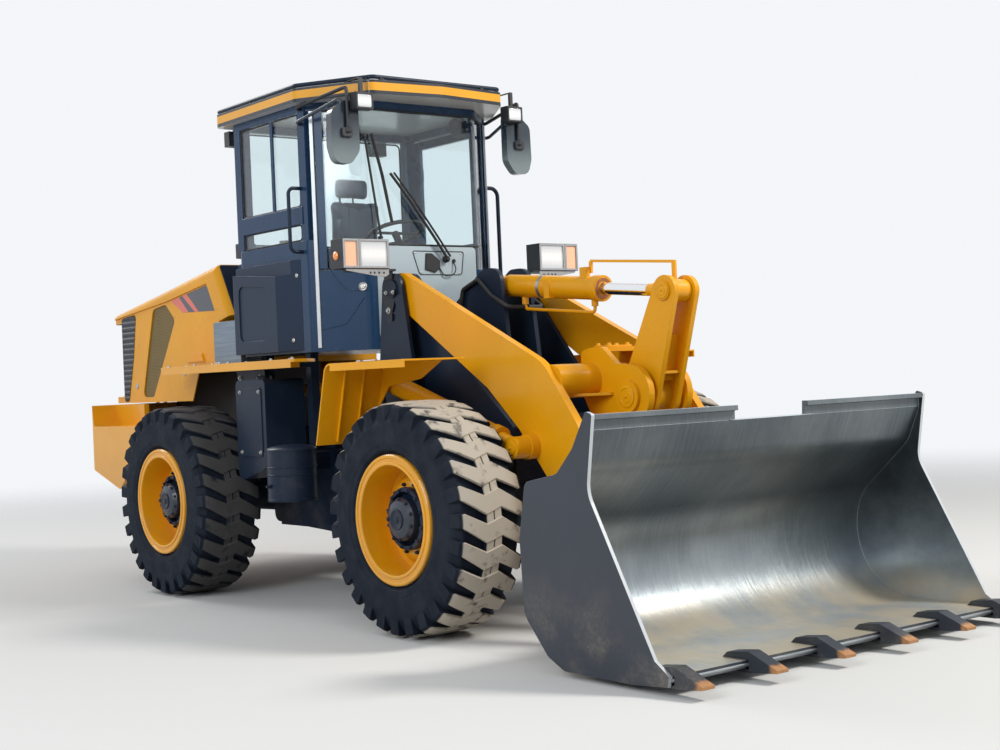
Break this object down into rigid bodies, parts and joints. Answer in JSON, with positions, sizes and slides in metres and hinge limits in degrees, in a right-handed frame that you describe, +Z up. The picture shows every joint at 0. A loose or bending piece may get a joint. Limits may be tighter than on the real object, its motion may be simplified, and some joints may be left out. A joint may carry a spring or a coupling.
{
  "type": "articulated wheel loader",
  "caption": "Articulated wheel loader with a cab, boom arms, bell crank and a wide bucket, on four rock-tread wheels.",
  "frame": {"origin": "ground level below the middle of the machine's length, on its centre plane", "axes": "+X forward, +Y to the machine's left, +Z up"},
  "size_m": [7.12, 2.486, 3.364],
  "materials": {
    "yellow_paint": "gloss",
    "black_paint": "satin",
    "cab_paint": "satin",
    "glass": "clear",
    "tyre": "matt",
    "chrome": "polished",
    "bucket_paint": "worn",
    "steel": "worn",
    "plastic": "matt",
    "seat_fabric": "woven",
    "iron": "matt"
  },
  "bodies": {
    "rear_frame": {"rear_frame": "black_paint", "cab_stands": "black_paint", "rear_axle": "black_paint", "counterweight": "yellow_paint", "engine_block": "iron", "transmission": "iron", "air_tank": "black_paint", "side_tanks": "black_paint", "side_platforms": "yellow_paint", "ladder": "black_paint", "side_covers": "plastic", "rear_duct": "cab_paint", "cab_shell": "cab_paint", "cab_posts": "cab_paint", "cab_roof": "yellow_paint", "roof_rail": "black_paint", "cab_glass": "glass", "seat": "seat_fabric", "console": "plastic", "work_lamps": "plastic", "mirrors": "plastic", "grab_rails": "black_paint"},
    "hood": {"engine_hood": "yellow_paint", "hood_grilles": "plastic", "exhaust": "plastic"},
    "door": {"cab_door": "cab_paint", "door_glass": "glass"},
    "front_frame": {"front_frame": "black_paint", "front_axle": "black_paint", "front_fenders": "yellow_paint", "headlamps": "plastic", "lamp_glass": "glass", "tilt_hoses": "plastic"},
    "boom": {"boom": "yellow_paint"},
    "bell_crank": {"bell_crank": "yellow_paint"},
    "bucket_link": {"bucket_link": "yellow_paint"},
    "bucket": {"bucket": "bucket_paint", "cutting_edge": "steel", "bucket_teeth": "bucket_paint"},
    "lift_barrels": {"lift_barrels": "yellow_paint"},
    "lift_rods": {"lift_rods": "chrome"},
    "tilt_barrel": {"tilt_barrel": "yellow_paint"},
    "tilt_rod": {"tilt_rod": "chrome"},
    "steer_barrel_left": {"steer_barrel_left": "yellow_paint"},
    "steer_rod_left": {"steer_rod_left": "chrome"},
    "wheel_front_left": {"tyre_front_left": "tyre", "rim_front_left": "yellow_paint"},
    "wheel_rear_left": {"tyre_rear_left": "tyre", "rim_rear_left": "yellow_paint"},
    "steer_barrel_right": {"steer_barrel_right": "yellow_paint"},
    "steer_rod_right": {"steer_rod_right": "chrome"},
    "wheel_front_right": {"tyre_front_right": "tyre", "rim_front_right": "yellow_paint"},
    "wheel_rear_right": {"tyre_rear_right": "tyre", "rim_rear_right": "yellow_paint"}
  },
  "joints": [
    {"name": "steer", "type": "hinge", "parent": "rear_frame", "child": "front_frame", "pos_m": [-0.31, 0, 0.78], "axis": [0, 0, 1], "range_deg": [-38, 38]},
    {"name": "boom_lift", "type": "hinge", "parent": "front_frame", "child": "boom", "pos_m": [0.36, 0, 2], "axis": [0, -1, 0], "range_deg": [0, 85]},
    {"name": "bucket_tilt", "type": "hinge", "parent": "boom", "child": "bucket", "pos_m": [2.28, 0, 0.3], "axis": [0, 1, 0], "range_deg": [-36, 131]},
    {"name": "crank_turn", "type": "hinge", "parent": "boom", "child": "bell_crank", "pos_m": [2.05, 0, 1.292], "axis": [0, -1, 0], "range_deg": [-8.48, 30.33]},
    {"name": "link_turn", "type": "hinge", "parent": "bucket", "child": "bucket_link", "pos_m": [2.28, 0, 0.56], "axis": [0, -1, 0], "range_deg": [-34.4, 124.65]},
    {"name": "lift_barrel_swing", "type": "hinge", "parent": "front_frame", "child": "lift_barrels", "pos_m": [0.33, 0, 1.45], "axis": [0, -1, 0], "range_deg": [-0.2, 75.41]},
    {"name": "lift_rod_slide", "type": "slide", "parent": "lift_barrels", "child": "lift_rods", "axis": [0.9522, 0, -0.3056], "range_m": [-0.002, 0.6899]},
    {"name": "tilt_barrel_swing", "type": "hinge", "parent": "front_frame", "child": "tilt_barrel", "pos_m": [0.81, 0, 1.99], "axis": [0, -1, 0], "range_deg": [-0.2, 101.53]},
    {"name": "tilt_rod_slide", "type": "slide", "parent": "tilt_barrel", "child": "tilt_rod", "axis": [0.9958, 0, -0.0914], "range_m": [-0.133, 0.038]},
    {"name": "cab_door_swing", "type": "hinge", "parent": "rear_frame", "child": "door", "pos_m": [-1.096, 0.754, 2], "axis": [0, 0, 1], "range_deg": [0, 150]},
    {"name": "hood_lift", "type": "hinge", "parent": "rear_frame", "child": "hood", "pos_m": [-3.434, 0, 1.362], "axis": [0, -1, 0], "range_deg": [0, 45]},
    {"name": "steer_barrel_left_swing", "type": "hinge", "parent": "rear_frame", "child": "steer_barrel_left", "pos_m": [-1.11, 0.42, 1.4], "axis": [0, 0, 1], "range_deg": [-10.69, 10.69]},
    {"name": "steer_rod_left_slide", "type": "slide", "parent": "steer_barrel_left", "child": "steer_rod_left", "axis": [0.9987, -0.0517, 0], "range_m": [-0.2456, 0.2456]},
    {"name": "steer_barrel_right_swing", "type": "hinge", "parent": "rear_frame", "child": "steer_barrel_right", "pos_m": [-1.11, -0.42, 1.4], "axis": [0, 0, 1], "range_deg": [-10.69, 10.69]},
    {"name": "steer_rod_right_slide", "type": "slide", "parent": "steer_barrel_right", "child": "steer_rod_right", "axis": [0.9987, 0.0517, 0], "range_m": [-0.2456, 0.2456]},
    {"name": "wheel_front_left_roll", "type": "hinge", "parent": "front_frame", "child": "wheel_front_left", "pos_m": [1.125, 0.92, 0.66], "axis": [0, 1, 0], "continuous": true},
    {"name": "wheel_front_right_roll", "type": "hinge", "parent": "front_frame", "child": "wheel_front_right", "pos_m": [1.125, -0.92, 0.66], "axis": [0, 1, 0], "continuous": true},
    {"name": "wheel_rear_left_roll", "type": "hinge", "parent": "rear_frame", "child": "wheel_rear_left", "pos_m": [-1.745, 0.92, 0.66], "axis": [0, 1, 0], "continuous": true},
    {"name": "wheel_rear_right_roll", "type": "hinge", "parent": "rear_frame", "child": "wheel_rear_right", "pos_m": [-1.745, -0.92, 0.66], "axis": [0, 1, 0], "continuous": true}
  ],
  "couplings": [
    {"joint": "crank_turn", "follows": "bucket_tilt", "ratio": 0.23},
    {"joint": "link_turn", "follows": "bucket_tilt", "ratio": 0.95},
    {"joint": "lift_barrel_swing", "follows": "boom_lift", "ratio": 0.88479},
    {"joint": "lift_rod_slide", "follows": "boom_lift", "m_per_rad": 0.46372},
    {"joint": "tilt_barrel_swing", "follows": "boom_lift", "ratio": 1.1921},
    {"joint": "tilt_rod_slide", "follows": "bucket_tilt", "m_per_rad": -0.0573},
    {"joint": "steer_barrel_left_swing", "follows": "steer", "ratio": 0.27615},
    {"joint": "steer_rod_left_slide", "follows": "steer", "m_per_rad": -0.36734},
    {"joint": "steer_barrel_right_swing", "follows": "steer", "ratio": 0.27615},
    {"joint": "steer_rod_right_slide", "follows": "steer", "m_per_rad": 0.36734}
  ]
}
